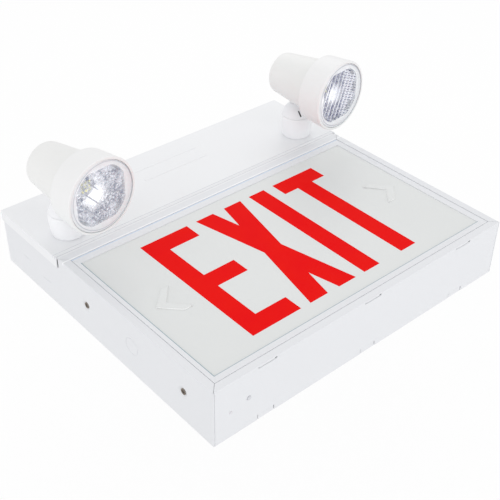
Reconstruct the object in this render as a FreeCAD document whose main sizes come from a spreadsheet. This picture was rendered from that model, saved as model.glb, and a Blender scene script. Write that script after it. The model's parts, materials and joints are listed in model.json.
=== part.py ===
"""Emergency exit light: a folded sheet-steel exit sign with two swivelling lamp heads.

The sign stands as it hangs on the wall: +Z is up, the wall is the plane y = 0 and the face
looks towards -Y. The origin is on the wall plane, at the centre of the wall holes. Heights in
the sizes below are measured from the lower edge of the box. All sizes are in mm.
"""
import math
import os

import FreeCAD, Part
import Sketcher

V = FreeCAD.Vector

SIZES = {
    # folded steel box
    "width": 457.0,
    "depth": 77.5,
    "side_height": 415.5,
    "sheet": 1.2,
    "bend_radius": 0.9,
    "assembly_gap": 0.3,
    # mitred front frame of the shell
    "frame_height": 286.6,
    "strip": 9.8,
    "top_strip": 12.6,
    "edge_round": 0.4,
    "mitre_slit": 0.5,
    # cover that carries the lamp heads
    "cover_bottom": 287.6,
    "cover_bend": 294.0,
    "joggle_run": 2.6,
    "cover_flange": 14.0,
    "cover_tuck": 6.0,
    "joggle_gap": 0.1,
    "bead_length": 100.0,
    "bead_width": 3.6,
    "bead_height": 0.4,
    "bead_low": 358.0,
    "bead_high": 383.5,
    # tabs along the bottom edge
    "tab_pitch": 157.0,
    "tab_width": 22.0,
    "tab_play": 1.0,
    "tab_depth": 6.5,
    "relief_radius": 1.4,
    # screws and knockouts in the left and right sides
    "screw_low": 50.5,
    "screw_high": 231.5,
    "screw_depth": 41.0,
    "screw_hole": 2.9,
    "screw_shank": 1.9,
    "screw_head": 4.4,
    "dimple_radius": 7.6,
    "dimple_depth": 1.7,
    "ear_width": 26.0,
    "ear_depth": 52.0,
    "knockout_radius": 11.1,
    "knockout_groove": 0.5,
    "knockout_cut": 0.3,
    "mark_length": 17.0,
    "mark_width": 1.6,
    "mark_cut": 0.3,
    "mark_high": 365.0,
    "mark_high_depth": 33.0,
    "mark_low": 319.5,
    "mark_low_depth": 25.5,
    # wall fixing
    "wall_hole": 3.25,
    "wall_pitch_x": 410.0,
    "wall_pitch_z": 300.0,
    "wall_centre": 208.0,
    "box_slot_pitch": 88.9,
    "box_slot_radius": 2.6,
    "box_slot_length": 14.0,
    # legend window
    "ring_gap": 0.6,
    "ring_side": 8.0,
    "ring_end": 10.4,
    "ring_sink": 0.3,
    "ring_slope": 1.7,
    "ring_lip": 0.9,
    "ring_flange": 1.6,
    "panel_thick": 1.5,
    "diffuser_thick": 1.5,
    "diffuser_width": 300.0,
    "diffuser_height": 222.0,
    "tray_depth": 22.0,
    "tray_wall": 1.0,
    "bar_length": 380.0,
    "bar_width": 10.0,
    "bar_thick": 1.6,
    "led_size": 3.0,
    "led_height": 0.9,
    "led_count": 12,
    # power parts
    "cell_radius": 16.5,
    "cell_length": 61.0,
    "cell_count": 5,
    "battery_x": -60.0,
    "battery_z": 349.0,
    "strap_width": 16.0,
    "strap_thick": 1.0,
    "core_length": 54.0,
    "core_height": 45.0,
    "core_depth": 34.0,
    "core_inset": 6.0,
    "core_x": 118.0,
    "coil_length": 27.0,
    "coil_height": 30.0,
    "board_length": 84.0,
    "board_height": 66.0,
    "board_lift": 8.0,
    "board_x": -152.0,
    "standoff_radius": 3.0,
    "small_capacitor": 4.0,
    "large_capacitor": 6.0,
    "capacitor_height": 16.0,
    "relay_length": 28.0,
    "relay_width": 16.0,
    "relay_height": 14.0,
    "terminal_x": 168.5,
    "terminal_length": 48.0,
    "terminal_width": 20.0,
    "terminal_depth": 18.0,
    "terminal_pitch": 12.0,
    "terminal_screw": 3.0,
    "terminal_count": 4,
    # test button and pilot light on the bottom side
    "button_x": -181.5,
    "button_radius": 2.6,
    "button_fit": 0.15,
    "button_travel": 2.0,
    "button_length": 8.2,
    "button_rim": 1.2,
    "switch_gap": 1.3,
    "switch_size": 14.0,
    "switch_guide": 9.5,
    "pilot_x": -206.0,
    "pilot_offset": 5.0,
    "pilot_radius": 2.2,
    "pilot_length": 10.2,
    # lamp heads: places on the cover
    "lamp_x": 188.4,
    "lamp_shift": 1.4,
    "lamp_z": 323.4,
    "lamp_axis": 84.5,
    "pan_rest": 6.2,
    # lamp heads: cup, swivel and pin
    "foot_radius": 19.6,
    "cup_radius": 22.3,
    "cup_height": 31.8,
    "cup_bore": 17.2,
    "cup_floor": 4.0,
    "nipple_radius": 6.2,
    "nipple_length": 11.0,
    "nut_height": 5.0,
    "nut_radius": 10.5,
    "ball_radius": 22.0,
    "ball_centre": 27.0,
    "seam_gap": 0.4,
    "spigot_fit": 0.05,
    "spigot_length": 17.0,
    "cavity_radius": 12.5,
    "blade": 4.0,
    "blade_play": 0.35,
    "blade_fit": 0.05,
    "blade_root": 5.5,
    "eye_radius": 6.5,
    "pin_radius": 2.0,
    "pin_fit": 0.05,
    "slot_edge": 18.0,
    # lamp heads: housing and optics
    "can_rear": -33.0,
    "can_rear_radius": 27.6,
    "can_round": 8.0,
    "can_front": 40.0,
    "can_front_radius": 37.5,
    "can_wall": 2.2,
    "neck_rise": 19.0,
    "neck_length": 24.0,
    "neck_width": 12.0,
    "neck_taper": 9.0,
    "saddle_gap": 0.5,
    "bezel_rear": 37.5,
    "bezel_step": 7.5,
    "bezel_front": 73.7,
    "bezel_flare": 3.0,
    "bezel_lip": 3.3,
    "bezel_wall": 2.2,
    "bezel_ledge": 4.5,
    "bezel_round": 1.6,
    "lens_gap": 0.7,
    "lens_sink": 0.8,
    "lens_seat": 2.5,
    "lens_thick": 2.4,
    "lens_rise": 1.2,
    "reflector_mouth": 35.0,
    "reflector_throat": 13.0,
    "reflector_rear": 44.0,
    "reflector_front": 69.5,
    "reflector_curve": 43.1,
    "reflector_wall": 0.8,
    "scallop_radius": 8.5,
    "scallop_circle": 31.5,
    "scallop_count": 8,
    "emitter_radius": 14.0,
    "emitter_thick": 1.6,
    "chip_size": 2.6,
}

doc = FreeCAD.newDocument("exit_light")
sheet = doc.addObject("Spreadsheet::Sheet", "dims")
for row, (alias, value) in enumerate(SIZES.items(), start=1):
    cell = f"B{row}"
    sheet.set(f"A{row}", alias)
    sheet.set(cell, str(value))
    sheet.setAlias(cell, alias)
doc.recompute()

worked = doc.addObject("Spreadsheet::Sheet", "worked")

NODES = []


def bound(expression):
    """Write the aliases of an expression as references to the spreadsheet."""
    words = []
    word = ""
    for letter in expression + " ":
        if letter.isalnum() or letter in "_.":
            word += letter
            continue
        words.append(f"dims.{word}" if word in SIZES else word)
        words.append(letter)
        word = ""
    return "".join(words).strip()


def number(expression):
    """Value of an expression in the spreadsheet's sizes, worked out in a cell."""
    worked.set("A1", f"={bound(str(expression))}")
    worked.recompute()
    return float(worked.get("A1"))


def node(item, name):
    """Give a finished sub-part the name that its file takes."""
    item.Label = name
    NODES.append(item)
    return item


def place(item, x, y, z):
    for axis, expression in zip("xyz", (x, y, z)):
        item.setExpression(f"Placement.Base.{axis}", bound(expression))


def stand(item, x, y, z):
    """Place an item whose height is measured from the lower edge of the box."""
    place(item, x, y, f"{z} - wall_centre")


# ---------------------------------------------------------------- part design helpers

def new_body(name):
    body = doc.addObject("PartDesign::Body", f"body_{name}")
    stand(body, "0", "0", "0")
    return body


def new_sketch(body, name, role, lift="0"):
    """Sketch on one of the body's origin planes, lifted along the plane's normal."""
    sketch = body.newObject("Sketcher::SketchObject", name)
    plane = next(item for item in body.Origin.OriginFeatures if item.Role == role)
    sketch.AttachmentSupport = [(plane, "")]
    sketch.MapMode = "FlatFace"
    sketch.setExpression("AttachmentOffset.Base.z", bound(lift))
    return sketch


def pin_point(sketch, geometry, end, x, y):
    """Hold one point of a sketch at a place given by two expressions."""
    for kind, expression in (("DistanceX", x), ("DistanceY", y)):
        index = sketch.addConstraint(
            Sketcher.Constraint(kind, -1, 1, geometry, end, number(expression)))
        sketch.setExpression(f"Constraints[{index}]", bound(expression))


def outline(sketch, points):
    """Closed outline. A point is (x, y), or (x, y, radius) where an arc leaves it.

    A positive radius bulges to the right of the way travelled, a negative one to the left.
    A half circle is held by its centre, because its ends already fix its radius.
    """
    places = [V(number(point[0]), number(point[1]), 0) for point in points]
    edges = []
    for index, point in enumerate(points):
        start = places[index]
        stop = places[(index + 1) % len(points)]
        if len(point) == 2:
            edges.append(sketch.addGeometry(Part.LineSegment(start, stop), False))
            continue
        radius = number(point[2])
        chord = stop - start
        half = chord.Length / 2
        sag = abs(radius) - math.sqrt(max(radius * radius - half * half, 0))
        side = V(chord.y, -chord.x, 0).normalize() * math.copysign(sag, radius)
        middle = (start + stop) * 0.5 + side
        edges.append(sketch.addGeometry(Part.Arc(start, middle, stop), False))
        if abs(abs(radius) - half) > 1e-6:
            size = sketch.addConstraint(Sketcher.Constraint("Radius", edges[-1], abs(radius)))
            sketch.setExpression(f"Constraints[{size}]", f"abs({bound(point[2])})")
            continue
        kind, expression = ("DistanceX", point[0]) if abs(chord.x) < 1e-6 else ("DistanceY", point[1])
        centre = sketch.addConstraint(
            Sketcher.Constraint(kind, -1, 1, edges[-1], 3, number(expression)))
        sketch.setExpression(f"Constraints[{centre}]", bound(expression))
    ends = []
    for edge, start in zip(edges, places):
        first = sketch.getPoint(edge, 1)
        ends.append((1, 2) if (first - start).Length < 1e-6 else (2, 1))
    for index, edge in enumerate(edges):
        following = (index + 1) % len(edges)
        sketch.addConstraint(Sketcher.Constraint(
            "Coincident", edge, ends[index][1], edges[following], ends[following][0]))
        pin_point(sketch, edge, ends[index][0], points[index][0], points[index][1])


def rectangle(sketch, left, low, right, high):
    outline(sketch, [(left, low), (right, low), (right, high), (left, high)])


def circle(sketch, x, y, radius):
    index = sketch.addGeometry(
        Part.Circle(V(number(x), number(y), 0), V(0, 0, 1), number(radius)), False)
    pin_point(sketch, index, 3, x, y)
    size = sketch.addConstraint(Sketcher.Constraint("Radius", index, number(radius)))
    sketch.setExpression(f"Constraints[{size}]", bound(radius))


def pad(body, sketch, length, back=False, middle=False):
    feature = body.newObject("PartDesign::Pad", f"pad_{sketch.Name}")
    feature.Profile = sketch
    feature.setExpression("Length", bound(length))
    feature.Reversed = back
    feature.Midplane = middle
    sketch.Visibility = False
    return feature


def pocket(body, sketch, length=None, back=False, middle=False):
    """Cut a sketch; with no length it goes through everything."""
    feature = body.newObject("PartDesign::Pocket", f"cut_{sketch.Name}")
    feature.Profile = sketch
    if length is None:
        feature.Type = 1
    else:
        feature.setExpression("Length", bound(length))
    feature.Reversed = back
    feature.Midplane = middle
    sketch.Visibility = False
    return feature


def turn(body, sketch, axis="V_Axis", cut=False):
    kind = "PartDesign::Groove" if cut else "PartDesign::Revolution"
    feature = body.newObject(kind, f"turn_{sketch.Name}")
    feature.Profile = sketch
    feature.ReferenceAxis = (sketch, [axis])
    feature.Angle = 360.0
    sketch.Visibility = False
    return feature


def row_of(body, feature, sketch, pitch, count):
    """Repeat a feature along the sketch's first axis, centred on it."""
    doc.recompute()
    pattern = body.newObject("PartDesign::LinearPattern", f"row_{feature.Name}")
    pattern.Originals = [feature]
    pattern.Direction = (sketch, ["H_Axis"])
    pattern.setExpression("Length", bound(f"{pitch} * {count - 1}"))
    pattern.Occurrences = count
    body.Tip = pattern
    return pattern


def ring_of(body, feature, sketch, count):
    """Repeat a feature round the sketch's normal."""
    doc.recompute()
    pattern = body.newObject("PartDesign::PolarPattern", f"ring_{feature.Name}")
    pattern.Originals = [feature]
    pattern.Axis = (sketch, ["N_Axis"])
    pattern.Angle = 360.0
    pattern.Occurrences = int(number(count))
    body.Tip = pattern
    return pattern


def soften(body, name, radius, wanted):
    """Round the edges of the body's tip that the given test accepts."""
    doc.recompute()
    tip = body.Tip
    names = [f"Edge{index}" for index, edge in enumerate(tip.Shape.Edges, start=1) if wanted(edge)]
    feature = body.newObject("PartDesign::Fillet", f"round_{name}")
    feature.Base = (tip, names)
    feature.setExpression("Radius", bound(radius))
    return feature


# ---------------------------------------------------------------- part primitive helpers

def block(name, low, size):
    """Box from its lowest corner and its size, all given as expressions."""
    item = doc.addObject("Part::Box", name)
    for side, expression in zip(("Length", "Width", "Height"), size):
        item.setExpression(side, bound(expression))
    stand(item, *low)
    return item


def rod(name, foot, radius, height, axis=V(0, 0, 1)):
    """Cylinder from the centre of its foot, along the given axis."""
    item = doc.addObject("Part::Cylinder", name)
    item.setExpression("Radius", bound(radius))
    item.setExpression("Height", bound(height))
    item.Placement = FreeCAD.Placement(V(), FreeCAD.Rotation(V(0, 0, 1), axis))
    stand(item, *foot)
    return item


def join(name, items):
    item = doc.addObject("Part::MultiFuse", name)
    item.Shapes = items
    return item


def take(name, base, tool):
    item = doc.addObject("Part::Cut", name)
    item.Base = base
    item.Tool = tool
    return item


# ---------------------------------------------------------------- folded steel box

INSIDE_X = "(width / 2 - sheet - assembly_gap)"
WINDOW_TOP = "(frame_height - top_strip)"
RING_BACK = "(-depth + sheet + assembly_gap / 3 + ring_flange)"
PANEL_X = "(width / 2 - sheet - assembly_gap * 2)"
PANEL_LOW = "(sheet + assembly_gap * 2)"
PANEL_HIGH = "(frame_height - cover_tuck - assembly_gap * 2)"
TRAY_FRONT = f"({RING_BACK} + panel_thick + diffuser_thick + assembly_gap)"
BUTTON_Y = f"({TRAY_FRONT} + tray_depth + switch_gap + switch_size / 2)"
PILOT_Y = f"({BUTTON_Y} + pilot_offset)"
SIDES = (-1, 1)
SCREWS = ("screw_low", "screw_high")


def housing_shell():
    """Shell folded from one sheet: four sides and a mitred frame round the legend."""
    body = new_body("housing_shell")
    outer = new_sketch(body, "shell_outer", "XZ_Plane")
    rectangle(outer, "-width / 2", "0", "width / 2", "side_height")
    pad(body, outer, "depth")
    front = "depth"
    soften(body, "shell_front", "bend_radius", lambda edge: all(
        abs(vertex.Y + number(front)) < 1e-6 for vertex in edge.Vertexes)
        and edge.BoundBox.ZMin < number("side_height - 1"))
    hollow = new_sketch(body, "shell_hollow", "XZ_Plane")
    rectangle(hollow, "-width / 2 + sheet", "sheet", "width / 2 - sheet", "side_height - sheet")
    pocket(body, hollow, "depth - sheet", back=True)
    window = new_sketch(body, "shell_window", "XZ_Plane")
    rectangle(window, "-width / 2 + strip", "strip", "width / 2 - strip", WINDOW_TOP)
    pocket(body, window, back=True)
    upper = new_sketch(body, "shell_upper", "XZ_Plane", front)
    rectangle(upper, "-width", "frame_height", "width", "side_height * 2")
    pocket(body, upper, "sheet + assembly_gap")
    soften(body, "shell_frame_top", "bend_radius", lambda edge: all(
        abs(vertex.Y + number(front)) < 1e-6
        and abs(vertex.Z - number("frame_height")) < 1e-6 for vertex in edge.Vertexes))
    soften(body, "shell_window_edge", "edge_round", lambda edge: all(
        abs(vertex.Y + number(front)) < 1e-6 and abs(vertex.X) < number("width / 2 - strip + 1")
        and vertex.Z < number("frame_height - top_strip + 1") for vertex in edge.Vertexes)
        and edge.BoundBox.ZMin > number("strip - 1"))
    corner = new_sketch(body, "shell_corner_slit", "XZ_Plane", front)
    rectangle(corner, "-width", "frame_height", "width", "cover_bend")
    pocket(body, corner, "cover_flange")
    half = "mitre_slit / sqrt(2)"
    for side in SIDES:
        for edge, way in (("0", 1), (f"({WINDOW_TOP} + strip)", -1)):
            slit = new_sketch(body, "shell_mitre", "XZ_Plane", front)
            x = f"{side} * width / 2"
            inner_x = f"{side} * (width / 2 - strip - 1)"
            inner_z = f"{edge} + {way} * (strip + 1)"
            outline(slit, [(x, f"{edge} - {half}"), (inner_x, f"{inner_z} - {half}"),
                           (inner_x, f"{inner_z} + {half}"), (x, f"{edge} + {half}")])
            pocket(body, slit, "sheet")
    seams = new_sketch(body, "shell_corner_seams", "XY_Plane")
    for side in SIDES:
        near = f"{side} * (width / 2 - sheet)"
        rectangle(seams, near, "-depth * 2", f"{near} - {side} * mitre_slit", "depth")
    pocket(body, seams, "sheet / 2", back=True)
    shell_tab_slots(body)
    shell_bottom_holes(body)
    shell_side_holes(body)
    node(body, "housing_shell")


def shell_tab_slots(body):
    """Rear notches and front slots in the bottom side, where the tabs come through."""
    slots = new_sketch(body, "shell_tab_slots", "XY_Plane")
    half = "(tab_width / 2 + tab_play)"
    left = f"-tab_pitch - {half}"
    right = f"-tab_pitch + {half}"
    rectangle(slots, left, "-tab_depth - tab_play / 2", right, "sheet")
    low = "-depth + sheet - assembly_gap"
    high = "-depth + sheet + ring_flange + assembly_gap * 2"
    outline(slots, [(left, low), (right, low), (right, high), (left, high)])
    relief = new_sketch(body, "shell_relief", "XY_Plane")
    circle(relief, f"{right} + relief_radius * 0.6", f"({low} + {high}) / 2", "relief_radius")
    for sketch in (slots, relief):
        cut = pocket(body, sketch, "sheet * 2", back=True)
        row_of(body, cut, sketch, "tab_pitch", 3)


def shell_bottom_holes(body):
    holes = new_sketch(body, "shell_bottom_holes", "XY_Plane")
    circle(holes, "button_x", BUTTON_Y, "button_radius + button_fit")
    circle(holes, "pilot_x", PILOT_Y, "pilot_radius")
    pocket(body, holes, "sheet * 2", back=True)


def shell_side_holes(body):
    """Dished screw seats, conduit knockouts and pressed marks, the same in both sides."""
    for side in SIDES:
        out = FreeCAD.Rotation(V(0, 0, 1), V(side, 0, 0))
        for height in SCREWS:
            for kind, inner in (("Additive", "dimple_depth"), ("Subtractive", None)):
                if inner:
                    item = body.newObject("PartDesign::AdditiveCylinder", "dimple_boss")
                    item.setExpression("Radius", bound("dimple_radius"))
                    item.setExpression("Height", bound("dimple_depth + sheet / 2"))
                    foot = f"{side} * (width / 2 - sheet / 2 - (dimple_depth + sheet / 2))"
                else:
                    item = body.newObject("PartDesign::SubtractiveCone", "dimple_dish")
                    item.setExpression("Radius1", bound("screw_head"))
                    item.setExpression("Radius2", bound("dimple_radius"))
                    item.setExpression("Height", bound("dimple_depth"))
                    foot = f"{side} * (width / 2 - dimple_depth)"
                item.Placement = FreeCAD.Placement(V(), out)
                place(item, foot, "-screw_depth", height)
        ring = new_sketch(body, "shell_knockout", "YZ_Plane", f"{side} * width / 2")
        middle = "(screw_low + screw_high) / 2"
        circle(ring, "-screw_depth", middle, "knockout_radius")
        circle(ring, "-screw_depth", middle, "knockout_radius - knockout_groove")
        pocket(body, ring, "knockout_cut", back=side < 0)
        marks = new_sketch(body, "shell_marks", "YZ_Plane", f"{side} * width / 2")
        for height, deep in (("mark_high", "mark_high_depth"), ("mark_low", "mark_low_depth")):
            rectangle(marks, f"-{deep} - mark_width / 2", f"{height} - mark_length / 2",
                      f"-{deep} + mark_width / 2", f"{height} + mark_length / 2")
        pocket(body, marks, "mark_cut", back=side < 0)
    holes = new_sketch(body, "shell_side_holes", "YZ_Plane")
    for height in SCREWS:
        circle(holes, "-screw_depth", height, "screw_hole")
    pocket(body, holes, middle=True)


def lamp_cover():
    """Cover sheet above the legend: flanged on three sides, joggled behind the frame."""
    body = new_body("lamp_cover")
    top = "(side_height + assembly_gap + sheet)"
    back = "-depth + sheet + joggle_gap"
    profile = new_sketch(body, "cover_profile", "YZ_Plane")
    outline(profile, [
        ("-depth + cover_flange", top), ("-depth", top),
        ("-depth", "cover_bend"), (back, "cover_bend - joggle_run"),
        (back, "frame_height - cover_tuck"), (f"{back} + sheet", "frame_height - cover_tuck"),
        (f"{back} + sheet", "cover_bend - joggle_run + sheet / 5"),
        ("-depth + sheet", "cover_bend + sheet / 5"),
        ("-depth + sheet", f"{top} - sheet"), ("-depth + cover_flange", f"{top} - sheet")])
    pad(body, profile, "width + 2 * (assembly_gap + sheet)", middle=True)
    tongue_ends = new_sketch(body, "cover_tongue_ends", "XZ_Plane")
    flanges = new_sketch(body, "cover_flanges", "XZ_Plane", "depth")
    for side in SIDES:
        near = f"{side} * {INSIDE_X}"
        far = f"{side} * (width / 2 + sheet * 3)"
        rectangle(tongue_ends, near, "frame_height - cover_tuck * 2", far, "cover_bottom")
        inner = f"{side} * (width / 2 + assembly_gap)"
        outer = f"{side} * (width / 2 + assembly_gap + sheet)"
        rectangle(flanges, inner, "cover_bottom", outer, top)
    pocket(body, tongue_ends, back=True)
    pad(body, flanges, "cover_flange", back=True)
    beads = new_sketch(body, "cover_beads", "XZ_Plane", "depth")
    for height in ("bead_low", "bead_high"):
        reach = "bead_length / 2"
        low = f"{height} - bead_width / 2"
        high = f"{height} + bead_width / 2"
        outline(beads, [(f"-{reach}", low), (reach, low, "bead_width / 2"),
                        (reach, high), (f"-{reach}", high, "bead_width / 2")])
    pad(body, beads, "bead_height")
    holes = new_sketch(body, "cover_lamp_holes", "XZ_Plane")
    for side in SIDES:
        circle(holes, f"{side} * lamp_x - lamp_shift", "lamp_z", "nipple_radius + assembly_gap")
    pocket(body, holes, back=True)
    node(body, "lamp_cover")


def back_plate():
    """Wall plate inside the shell: ears for the side screws and tabs for the notches."""
    body = new_body("back_plate")
    low = "(sheet + assembly_gap)"
    high = "(side_height - sheet - assembly_gap)"
    plate = new_sketch(body, "plate_outline", "XZ_Plane")
    rectangle(plate, f"-{INSIDE_X}", low, INSIDE_X, high)
    pad(body, plate, "sheet")
    ears = new_sketch(body, "plate_ears", "XZ_Plane")
    for side in SIDES:
        far = f"{side} * (width / 2 - dimple_depth - sheet - assembly_gap)"
        near = f"{side} * (width / 2 - dimple_depth - sheet * 2 - assembly_gap)"
        for height in SCREWS:
            rectangle(ears, near, f"{height} - ear_width / 2", far, f"{height} + ear_width / 2")
    pad(body, ears, "ear_depth")
    threads = new_sketch(body, "plate_threads", "YZ_Plane")
    for height in SCREWS:
        circle(threads, "-screw_depth", height, "screw_shank")
    pocket(body, threads, middle=True)
    tab = new_sketch(body, "plate_tab", "XZ_Plane")
    rectangle(tab, "-tab_pitch - tab_width / 2", "assembly_gap",
              "-tab_pitch + tab_width / 2", "sheet * 2 + assembly_gap")
    row_of(body, pad(body, tab, "tab_depth"), tab, "tab_pitch", 3)
    holes = new_sketch(body, "plate_holes", "XZ_Plane")
    for side in SIDES:
        for level in SIDES:
            circle(holes, f"{side} * wall_pitch_x / 2",
                   f"wall_centre + {level} * wall_pitch_z / 2", "wall_hole")
        left = f"{side} * box_slot_pitch / 2 - box_slot_length / 2 + box_slot_radius"
        right = f"{side} * box_slot_pitch / 2 + box_slot_length / 2 - box_slot_radius"
        slot_low = "wall_centre - box_slot_radius"
        slot_high = "wall_centre + box_slot_radius"
        outline(holes, [(left, slot_low), (right, slot_low, "box_slot_radius"),
                        (right, slot_high), (left, slot_high, "box_slot_radius")])
    pocket(body, holes, back=True)
    ring = new_sketch(body, "plate_knockout", "XZ_Plane")
    circle(ring, "0", "wall_centre", "knockout_radius")
    circle(ring, "0", "wall_centre", "knockout_radius - knockout_groove")
    pocket(body, ring, "knockout_cut", back=True)
    node(body, "back_plate")


def side_screws():
    """Four screws that hold the shell to the ears of the wall plate."""
    screws = []
    for side in SIDES:
        out = V(side, 0, 0)
        for height in SCREWS:
            seat = f"{side} * (width / 2 - dimple_depth)"
            tip = f"{side} * (width / 2 - dimple_depth - sheet * 3)"
            screws.append(rod("screw_shank", (tip, "-screw_depth", height),
                              "screw_shank", "sheet * 3", out))
            screws.append(rod("screw_head", (seat, "-screw_depth", height),
                              "screw_head - assembly_gap * 2", "sheet * 0.9", out))
    node(join("screws", screws), "side_screws")


# ---------------------------------------------------------------- legend window

def panel_frame():
    """Retaining frame: fills the window, slopes down to the legend and has three tabs."""
    body = new_body("panel_frame")
    window_x = "(width / 2 - strip - ring_gap)"
    low = "(strip + ring_gap)"
    high = f"({WINDOW_TOP} - ring_gap)"
    front = "(depth - ring_sink)"
    flange = new_sketch(body, "ring_flange_outline", "XZ_Plane", "depth - sheet - assembly_gap / 3")
    rectangle(flange, f"-{PANEL_X}", PANEL_LOW, PANEL_X, PANEL_HIGH)
    pad(body, flange, "ring_flange", back=True)
    boss = new_sketch(body, "ring_boss", "XZ_Plane", front)
    rectangle(boss, f"-{window_x}", low, window_x, high)
    pad(body, boss, "sheet + ring_flange / 2", back=True)
    inner = "(width / 2 - strip - ring_side)"
    inner_low = "(strip + ring_end)"
    inner_high = f"({WINDOW_TOP} - ring_end)"
    opening = new_sketch(body, "ring_opening", "XZ_Plane")
    rectangle(opening, f"-{inner}", inner_low, inner, inner_high)
    pocket(body, opening, back=True)
    wide = new_sketch(body, "ring_slope_wide", "XZ_Plane", front)
    rectangle(wide, f"-{window_x} + ring_lip", f"{low} + ring_lip",
              f"{window_x} - ring_lip", f"{high} - ring_lip")
    narrow = new_sketch(body, "ring_slope_narrow", "XZ_Plane", f"{front} - ring_slope")
    rectangle(narrow, f"-{inner}", inner_low, inner, inner_high)
    slope = body.newObject("PartDesign::SubtractiveLoft", "ring_slope")
    slope.Profile = wide
    slope.Sections = [narrow]
    slope.Ruled = True
    tab = new_sketch(body, "ring_tab", "XZ_Plane", "depth - sheet - assembly_gap / 3")
    rectangle(tab, "-tab_pitch - tab_width / 2", "assembly_gap",
              "-tab_pitch + tab_width / 2", "sheet + strip / 2")
    row_of(body, pad(body, tab, "ring_flange", back=True), tab, "tab_pitch", 3)
    node(body, "panel_frame")


def legend_sheets():
    """Legend panel, and the red sheet that shows through its letters."""
    panel = block("legend", (f"-{PANEL_X}", RING_BACK, PANEL_LOW),
                  (f"2 * {PANEL_X}", "panel_thick", f"{PANEL_HIGH} - {PANEL_LOW}"))
    node(panel, "legend_panel")
    middle = f"((strip + {WINDOW_TOP}) / 2)"
    red = block("diffuser", ("-diffuser_width / 2", f"{RING_BACK} + panel_thick",
                             f"{middle} - diffuser_height / 2"),
                ("diffuser_width", "diffuser_thick", "diffuser_height"))
    node(red, "red_diffuser")


def light_tray():
    """White tray that throws the light of the bars forwards through the legend."""
    width = f"(2 * {PANEL_X} - 2 * sheet * 6)"
    height = f"({PANEL_HIGH} - {PANEL_LOW} - sheet)"
    corner = (f"-{width} / 2", TRAY_FRONT, f"{PANEL_LOW} + sheet / 2")
    outer = block("tray_outer", corner, (width, "tray_depth", height))
    hollow = block("tray_hollow",
                   (f"-{width} / 2 + tray_wall", f"{TRAY_FRONT} - tray_wall",
                    f"{PANEL_LOW} + sheet / 2 + tray_wall"),
                   (f"{width} - 2 * tray_wall", "tray_depth", f"{height} - 2 * tray_wall"))
    node(take("tray", outer, hollow), "light_tray")


def led_bars():
    """Strip boards along the lower and upper walls of the tray."""
    floor = f"({PANEL_LOW} + sheet / 2 + tray_wall)"
    roof = f"({PANEL_LOW} + sheet / 2 + {PANEL_HIGH} - {PANEL_LOW} - sheet - tray_wall)"
    y = f"({TRAY_FRONT} + tray_depth - tray_wall - bar_width - assembly_gap)"
    for name, level, lift in (("led_bar_bottom", floor, 1), ("led_bar_top", roof, -1)):
        low = level if lift > 0 else f"{level} - bar_thick"
        pieces = [block(f"{name}_board", ("-bar_length / 2", y, low),
                        ("bar_length", "bar_width", "bar_thick"))]
        chip_low = f"{low} + bar_thick" if lift > 0 else f"{low} - led_height"
        count = int(number("led_count"))
        for index in range(count):
            x = f"bar_length * ({index} + 0.5) / led_count - bar_length / 2 - led_size / 2"
            pieces.append(block(f"{name}_chip", (x, f"{y} + (bar_width - led_size) / 2", chip_low),
                                ("led_size", "led_size", "led_height")))
        node(join(f"{name}_all", pieces), name)


# ---------------------------------------------------------------- power parts

def battery():
    """Row of rechargeable cells on the wall plate, and the strap that holds it."""
    count = int(number("cell_count"))
    cells = []
    for index in range(count):
        x = f"battery_x + 2 * cell_radius * {index} * 0.985"
        cells.append(rod("cell", (x, "-sheet - cell_radius", "battery_z - cell_length / 2"),
                         "cell_radius", "cell_length"))
    node(join("cells", cells), "battery_pack")
    left = "(battery_x - cell_radius - assembly_gap - strap_thick)"
    right = f"(battery_x + 2 * cell_radius * {count - 1} * 0.985 + cell_radius + assembly_gap)"
    low = "battery_z - strap_width / 2"
    front = "(-sheet - 2 * cell_radius - assembly_gap - strap_thick)"
    bridge = block("strap_bridge", (left, front, low),
                   (f"{right} + strap_thick - {left}", "strap_thick", "strap_width"))
    pieces = [bridge]
    for x, foot in ((left, f"{left} - strap_width"), (right, f"{right} + strap_thick")):
        pieces.append(block("strap_leg", (x, front, low),
                            ("strap_thick", f"-sheet - {front}", "strap_width")))
        pieces.append(block("strap_foot", (foot, "-sheet - strap_thick", low),
                            ("strap_width", "strap_thick", "strap_width")))
    node(join("strap", pieces), "battery_strap")


def transformer():
    """Laminated core with its coil, on the wall plate."""
    core = block("core", ("core_x - core_length / 2", "-sheet - core_depth + core_inset",
                          "battery_z - core_height / 2"),
                 ("core_length", "core_depth - 2 * core_inset", "core_height"))
    coil = block("coil", ("core_x - coil_length / 2", "-sheet - core_depth",
                          "battery_z - coil_height / 2"),
                 ("coil_length", "core_depth", "coil_height"))
    node(join("core_and_coil", [core, coil]), "transformer")


def charger_board():
    """Charger and switching board on four standoffs."""
    y = "(-sheet - board_lift - bar_thick)"
    left = "(board_x - board_length / 2)"
    low = "(battery_z - board_height / 2)"
    pieces = [block("board", (left, y, low), ("board_length", "bar_thick", "board_height"))]
    for across in (0, 1):
        for up in (0, 1):
            x = f"{left} + standoff_radius + {across} * (board_length - 2 * standoff_radius)"
            z = f"{low} + standoff_radius + {up} * (board_height - 2 * standoff_radius)"
            pieces.append(rod("standoff", (x, "-sheet - board_lift", z),
                              "standoff_radius", "board_lift", V(0, 1, 0)))
    for x, z, radius in (("0.25", "0.3", "small_capacitor"), ("0.45", "0.3", "small_capacitor"),
                         ("0.75", "0.7", "large_capacitor")):
        pieces.append(rod("capacitor", (f"{left} + board_length * {x}", f"{y} - capacitor_height",
                                        f"{low} + board_height * {z}"),
                          radius, "capacitor_height", V(0, 1, 0)))
    pieces.append(block("relay", (f"{left} + board_length * 0.1", f"{y} - relay_height",
                                  f"{low} + board_height * 0.6"),
                        ("relay_length", "relay_height", "relay_width")))
    node(join("board_and_parts", pieces), "charger_board")


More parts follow.
